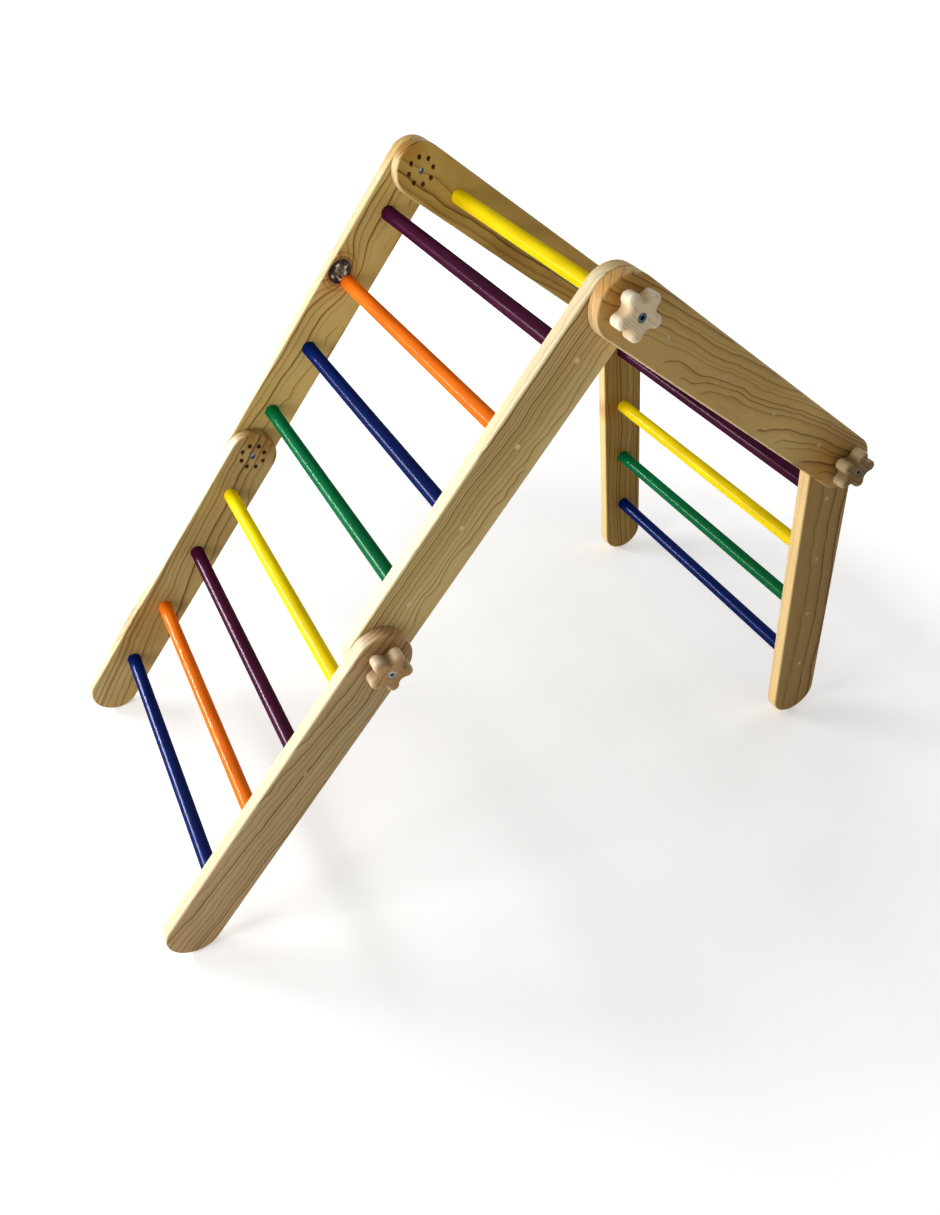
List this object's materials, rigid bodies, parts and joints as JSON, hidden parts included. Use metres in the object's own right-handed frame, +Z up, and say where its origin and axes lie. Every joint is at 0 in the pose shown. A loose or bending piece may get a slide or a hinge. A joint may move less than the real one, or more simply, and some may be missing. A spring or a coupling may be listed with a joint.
{
  "type": "climbing frame",
  "caption": "Child's indoor climbing frame: hinged ladder sections of round-ended pine rails and painted rungs, clamped at their joints by wooden star knobs.",
  "frame": {"origin": "on the floor, under the middle of the frame's length and width", "axes": "+Z up; +Y from the foot of the ramp towards the foot of the standing leg; +X along the rungs, to the right as one climbs the ramp"},
  "size_m": [0.712, 1.302, 0.9924],
  "materials": {
    "rail_pine": "clear-oiled knotty pine",
    "paint_blue": "gloss paint on beech, dark blue",
    "paint_orange": "gloss paint on beech, orange",
    "paint_purple": "gloss paint on beech, dark purple",
    "paint_yellow": "gloss paint on beech, yellow",
    "paint_green": "gloss paint on beech, green",
    "knob_wood": "sanded and oiled pale wood",
    "plug_wood": "sanded pale wood",
    "pin_wood": "plain beech dowel",
    "bolt_steel": "zinc-plated",
    "insert_steel": "zinc-plated",
    "screw_steel": "zinc-plated"
  },
  "bodies": {
    "lower_ramp": {"lower_ramp_left_rail": "rail_pine", "lower_ramp_right_rail": "rail_pine", "lower_ramp_rung_1": "paint_blue", "lower_ramp_rung_2": "paint_orange", "lower_ramp_rung_3": "paint_purple", "lower_ramp_rung_4": "paint_yellow", "lower_ramp_screws": "screw_steel", "lower_ramp_plugs": "plug_wood", "ramp_joint_left_insert": "insert_steel"},
    "upper_ramp": {"upper_ramp_left_rail": "rail_pine", "upper_ramp_right_rail": "rail_pine", "upper_ramp_rung_1": "paint_green", "upper_ramp_rung_2": "paint_blue", "upper_ramp_rung_3": "paint_orange", "upper_ramp_rung_4": "paint_purple", "upper_ramp_screws": "screw_steel", "upper_ramp_plugs": "plug_wood", "ramp_joint_right_insert": "insert_steel", "top_joint_right_insert": "insert_steel"},
    "bridge": {"bridge_left_rail": "rail_pine", "bridge_right_rail": "rail_pine", "bridge_rung_1": "paint_yellow", "bridge_rung_2": "paint_green", "bridge_rung_3": "paint_blue", "bridge_rung_4": "paint_orange", "bridge_screws": "screw_steel", "bridge_plugs": "plug_wood", "top_joint_left_insert": "insert_steel", "leg_joint_left_insert": "insert_steel"},
    "leg": {"leg_left_rail": "rail_pine", "leg_right_rail": "rail_pine", "leg_rung_1": "paint_purple", "leg_rung_2": "paint_yellow", "leg_rung_3": "paint_green", "leg_rung_4": "paint_blue", "leg_screws": "screw_steel", "leg_plugs": "plug_wood", "leg_joint_right_insert": "insert_steel"},
    "ramp_joint_left_knob": {"ramp_joint_left_knob": "knob_wood", "ramp_joint_left_bolt": "bolt_steel"},
    "ramp_joint_left_pins": {"ramp_joint_left_pins": "pin_wood"},
    "ramp_joint_right_knob": {"ramp_joint_right_knob": "knob_wood", "ramp_joint_right_bolt": "bolt_steel"},
    "ramp_joint_right_pins": {"ramp_joint_right_pins": "pin_wood"},
    "top_joint_left_knob": {"top_joint_left_knob": "knob_wood", "top_joint_left_bolt": "bolt_steel"},
    "top_joint_left_pins": {"top_joint_left_pins": "pin_wood"},
    "top_joint_right_knob": {"top_joint_right_knob": "knob_wood", "top_joint_right_bolt": "bolt_steel"},
    "top_joint_right_pins": {"top_joint_right_pins": "pin_wood"},
    "leg_joint_left_knob": {"leg_joint_left_knob": "knob_wood", "leg_joint_left_bolt": "bolt_steel"},
    "leg_joint_left_pins": {"leg_joint_left_pins": "pin_wood"},
    "leg_joint_right_knob": {"leg_joint_right_knob": "knob_wood", "leg_joint_right_bolt": "bolt_steel"},
    "leg_joint_right_pins": {"leg_joint_right_pins": "pin_wood"}
  },
  "joints": [
    {"name": "ramp_fold", "type": "hinge", "parent": "upper_ramp", "child": "lower_ramp", "pos_m": [0, -0.26431, 0.4962], "axis": [1, 0, 0], "range_deg": [-135, 135]},
    {"name": "ramp_joint_left_knob_turn", "type": "hinge", "parent": "upper_ramp", "child": "ramp_joint_left_knob", "pos_m": [0, -0.26431, 0.4962], "axis": [-1, 0, 0], "continuous": true},
    {"name": "ramp_joint_left_pin_slide", "type": "slide", "parent": "upper_ramp", "child": "ramp_joint_left_pins", "axis": [1, 0, 0], "range_m": [0, 0.012]},
    {"name": "ramp_joint_right_knob_turn", "type": "hinge", "parent": "lower_ramp", "child": "ramp_joint_right_knob", "pos_m": [0, -0.26431, 0.4962], "axis": [1, 0, 0], "continuous": true},
    {"name": "ramp_joint_right_pin_slide", "type": "slide", "parent": "lower_ramp", "child": "ramp_joint_right_pins", "axis": [-1, 0, 0], "range_m": [0, 0.012]},
    {"name": "top_fold", "type": "hinge", "parent": "upper_ramp", "child": "bridge", "pos_m": [0, 0.07741, 0.9474], "axis": [1, 0, 0], "range_deg": [-45, 225]},
    {"name": "top_joint_left_knob_turn", "type": "hinge", "parent": "upper_ramp", "child": "top_joint_left_knob", "pos_m": [0, 0.07741, 0.9474], "axis": [-1, 0, 0], "continuous": true},
    {"name": "top_joint_left_pin_slide", "type": "slide", "parent": "upper_ramp", "child": "top_joint_left_pins", "axis": [1, 0, 0], "range_m": [0, 0.012]},
    {"name": "top_joint_right_knob_turn", "type": "hinge", "parent": "bridge", "child": "top_joint_right_knob", "pos_m": [0, 0.07741, 0.9474], "axis": [1, 0, 0], "continuous": true},
    {"name": "top_joint_right_pin_slide", "type": "slide", "parent": "bridge", "child": "top_joint_right_pins", "axis": [-1, 0, 0], "range_m": [0, 0.012]},
    {"name": "leg_fold", "type": "hinge", "parent": "bridge", "child": "leg", "pos_m": [0, 0.52861, 0.60568], "axis": [-1, 0, 0], "range_deg": [-180, 90]},
    {"name": "leg_joint_left_knob_turn", "type": "hinge", "parent": "leg", "child": "leg_joint_left_knob", "pos_m": [0, 0.52861, 0.60568], "axis": [-1, 0, 0], "continuous": true},
    {"name": "leg_joint_left_pin_slide", "type": "slide", "parent": "leg", "child": "leg_joint_left_pins", "axis": [1, 0, 0], "range_m": [0, 0.012]},
    {"name": "leg_joint_right_knob_turn", "type": "hinge", "parent": "bridge", "child": "leg_joint_right_knob", "pos_m": [0, 0.52861, 0.60568], "axis": [1, 0, 0], "continuous": true},
    {"name": "leg_joint_right_pin_slide", "type": "slide", "parent": "bridge", "child": "leg_joint_right_pins", "axis": [-1, 0, 0], "range_m": [0, 0.012]}
  ],
  "couplings": [
    {"joint": "ramp_joint_right_pin_slide", "follows": "ramp_joint_left_pin_slide", "ratio": 1},
    {"joint": "top_joint_right_pin_slide", "follows": "top_joint_left_pin_slide", "ratio": 1},
    {"joint": "leg_joint_right_pin_slide", "follows": "leg_joint_left_pin_slide", "ratio": 1}
  ]
}
